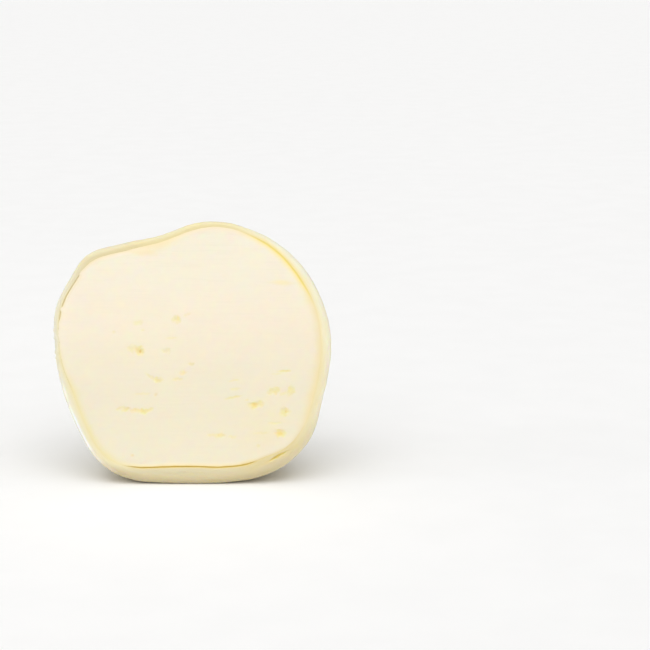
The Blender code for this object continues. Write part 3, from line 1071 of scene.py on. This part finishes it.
def shade_down(tree, place):
    """Share of painted shade on the butter: 0 towards its top and 1 towards its foot, a little clouded."""
    cloudy = noise_texture(tree, place, scale=45, detail=3, stretch=(1, 1, 1.6))
    axes = add_node(tree, "ShaderNodeSeparateXYZ")
    link(tree, place, axes.inputs[0])
    foot = narrowed(tree, axes.outputs["Z"], low=SHADE_DOWN_FROM, high=SHADE_DOWN_TO)
    clouded = add_node(tree, "ShaderNodeMath", operation="MULTIPLY_ADD")
    link(tree, cloudy, clouded.inputs[0])
    clouded.inputs[1].default_value = SHADE_DOWN_CLOUDS
    link(tree, foot, clouded.inputs[2])
    return narrowed(tree, clouded.outputs[0], low=-0.02, high=1.10)


def floor_material(settings):
    material, tree, shader = new_material("pale floor")
    place = object_coordinates(tree)
    paper = narrowed(tree, noise_texture(tree, place, scale=40, detail=4), low=0.3, high=0.7)
    floor = tuple(settings.floor_colour)
    darker = tuple(FLOOR_CLOUDS * part for part in floor)
    link(tree, mixed(tree, paper, floor, darker), shader.inputs["Base Color"])
    shader.inputs["Roughness"].default_value = 0.85
    shader.inputs["Specular IOR Level"].default_value = 0.0
    return material


# Stage

FLOOR_RADIUS = 14.0
FLOOR_SIDES = 96
FLOOR_CLOUDS = 0.985
FRAME_PIXELS = 650
MIDDLE_PIXEL = (192, 353)
PIXEL_SIZE = 0.000404
SENSOR_WIDTH = 36.0
CLIP_START = 0.01
CLIP_END = 60

# Soft lamps, by place from the cheese's middle: far ones, which light the floor evenly, and a near one for
# the sheen on the moist curd
LAMPS = {
    "key": ("SUN", (-0.10, -0.80, 1.05), {"angle": math.radians(60), "energy": 1.01}),
    "right fill": ("SUN", (0.85, -0.65, 0.70), {"angle": math.radians(70), "energy": 0.63}),
    "left fill": ("SUN", (-0.80, -0.60, 0.60), {"angle": math.radians(70), "energy": 0.31}),
    "overhead": ("SUN", (0.00, -0.10, 1.00), {"angle": math.radians(70), "energy": 0.82}),
    "left strip": (
        "AREA",
        (-0.75, -0.12, 0.16),
        {"shape": "RECTANGLE", "size": 0.10, "size_y": 0.50, "energy": 0.6},
    ),
}


def add_floor(settings):
    turns = np.arange(FLOOR_SIDES) * 2 * math.pi / FLOOR_SIDES
    rim = np.stack([np.cos(turns), np.sin(turns), 0 * turns], axis=-1) * FLOOR_RADIUS
    mesh = bpy.data.meshes.new("floor")
    mesh.from_pydata(rim.tolist(), [], [list(range(FLOOR_SIDES))])
    mesh.materials.append(floor_material(settings))
    floor = bpy.data.objects.new("floor", mesh)
    bpy.context.scene.collection.objects.link(floor)


def add_sky(settings):
    world = bpy.data.worlds.new("even light")
    bpy.context.scene.world = world
    world.use_nodes = True
    background = world.node_tree.nodes["Background"]
    background.inputs["Color"].default_value = (1.0, 1.0, 1.0, 1.0)
    background.inputs["Strength"].default_value = settings.sky


def add_lamp(name, kind, place, values, aim):
    """A lamp at this place from the point that it is aimed at."""
    light = bpy.data.lights.new(name, kind)
    for setting, value in values.items():
        setattr(light, setting, value)
    lamp = bpy.data.objects.new(name, light)
    lamp.location = Vector(place) + aim
    lamp.rotation_euler = (-Vector(place)).to_track_quat("-Z", "Y").to_euler()
    bpy.context.scene.collection.objects.link(lamp)


def add_camera(settings, middle):
    """A camera that looks along +Y and down, so that the half lies left of the view's middle."""
    up = Vector((0, math.sin(settings.elevation), math.cos(settings.elevation)))
    away = Vector((0, -math.cos(settings.elevation), math.sin(settings.elevation)))
    pixels_right = FRAME_PIXELS / 2 - MIDDLE_PIXEL[0]
    pixels_up = MIDDLE_PIXEL[1] - FRAME_PIXELS / 2
    aim = middle + Vector((pixels_right * PIXEL_SIZE, 0, 0)) + up * pixels_up * PIXEL_SIZE
    data = bpy.data.cameras.new("camera")
    data.sensor_width = SENSOR_WIDTH
    data.lens = SENSOR_WIDTH * settings.camera_distance / (FRAME_PIXELS * PIXEL_SIZE)
    data.clip_start = CLIP_START
    data.clip_end = CLIP_END
    camera = bpy.data.objects.new("camera", data)
    camera.location = aim + away * settings.camera_distance
    camera.rotation_euler = (-away).to_track_quat("-Z", "Y").to_euler()
    bpy.context.scene.collection.objects.link(camera)
    bpy.context.scene.camera = camera


# Operators and panel


class CHEESE_OT_casing(bpy.types.Operator):
    """Builds the casing of stretched curd, with its rounded lip, strands and crack"""

    bl_idname = "cheese.casing"
    bl_label = "Casing"

    def execute(self, context):
        make_casing(context.scene.cheese_casing)
        return {"FINISHED"}


class CHEESE_OT_butter(bpy.types.Operator):
    """Builds the core of butter, with its tears, drag lines and smears"""

    bl_idname = "cheese.butter"
    bl_label = "Butter"

    def execute(self, context):
        make_butter(context.scene.cheese_butter)
        return {"FINISHED"}


class CHEESE_OT_stage(bpy.types.Operator):
    """Builds the floor, the lights and the camera"""

    bl_idname = "cheese.stage"
    bl_label = "Stage"

    def execute(self, context):
        settings = context.scene.cheese_stage
        middle = Vector(middle_in_world())
        add_floor(settings)
        add_sky(settings)
        for name, lamp in LAMPS.items():
            add_lamp(name, *lamp, middle)
        add_camera(settings, middle)
        context.scene.view_settings.view_transform = "Standard"
        return {"FINISHED"}


class CHEESE_PT_panel(bpy.types.Panel):
    bl_label = "Manteca Cheese"
    bl_space_type = "VIEW_3D"
    bl_region_type = "UI"
    bl_category = "Cheese"

    def draw(self, context):
        for operator, settings, _ in STEPS:
            box = self.layout.box()
            group = getattr(context.scene, settings)
            for name in group.bl_rna.properties.keys():
                if name not in ("rna_type", "name"):
                    box.prop(group, name)
            box.operator(operator)


# Each step's operator, its settings' name in the scene, and their group
STEPS = (
    ("cheese.casing", "cheese_casing", CheeseCasingSettings),
    ("cheese.butter", "cheese_butter", CheeseButterSettings),
    ("cheese.stage", "cheese_stage", CheeseStageSettings),
)
GROUPS = [group for _, _, group in STEPS]
CLASSES = (*GROUPS, CHEESE_OT_casing, CHEESE_OT_butter, CHEESE_OT_stage, CHEESE_PT_panel)


def register():
    for cls in CLASSES:
        bpy.utils.register_class(cls)
    for _, settings, group in STEPS:
        setattr(bpy.types.Scene, settings, PointerProperty(type=group))


def unregister():
    for _, settings, _ in STEPS:
        delattr(bpy.types.Scene, settings)
    for cls in reversed(CLASSES):
        bpy.utils.unregister_class(cls)


def main():
    register()
    bpy.ops.cheese.casing()
    bpy.ops.cheese.butter()
    bpy.ops.cheese.stage()


if __name__ == "__main__":
    main()
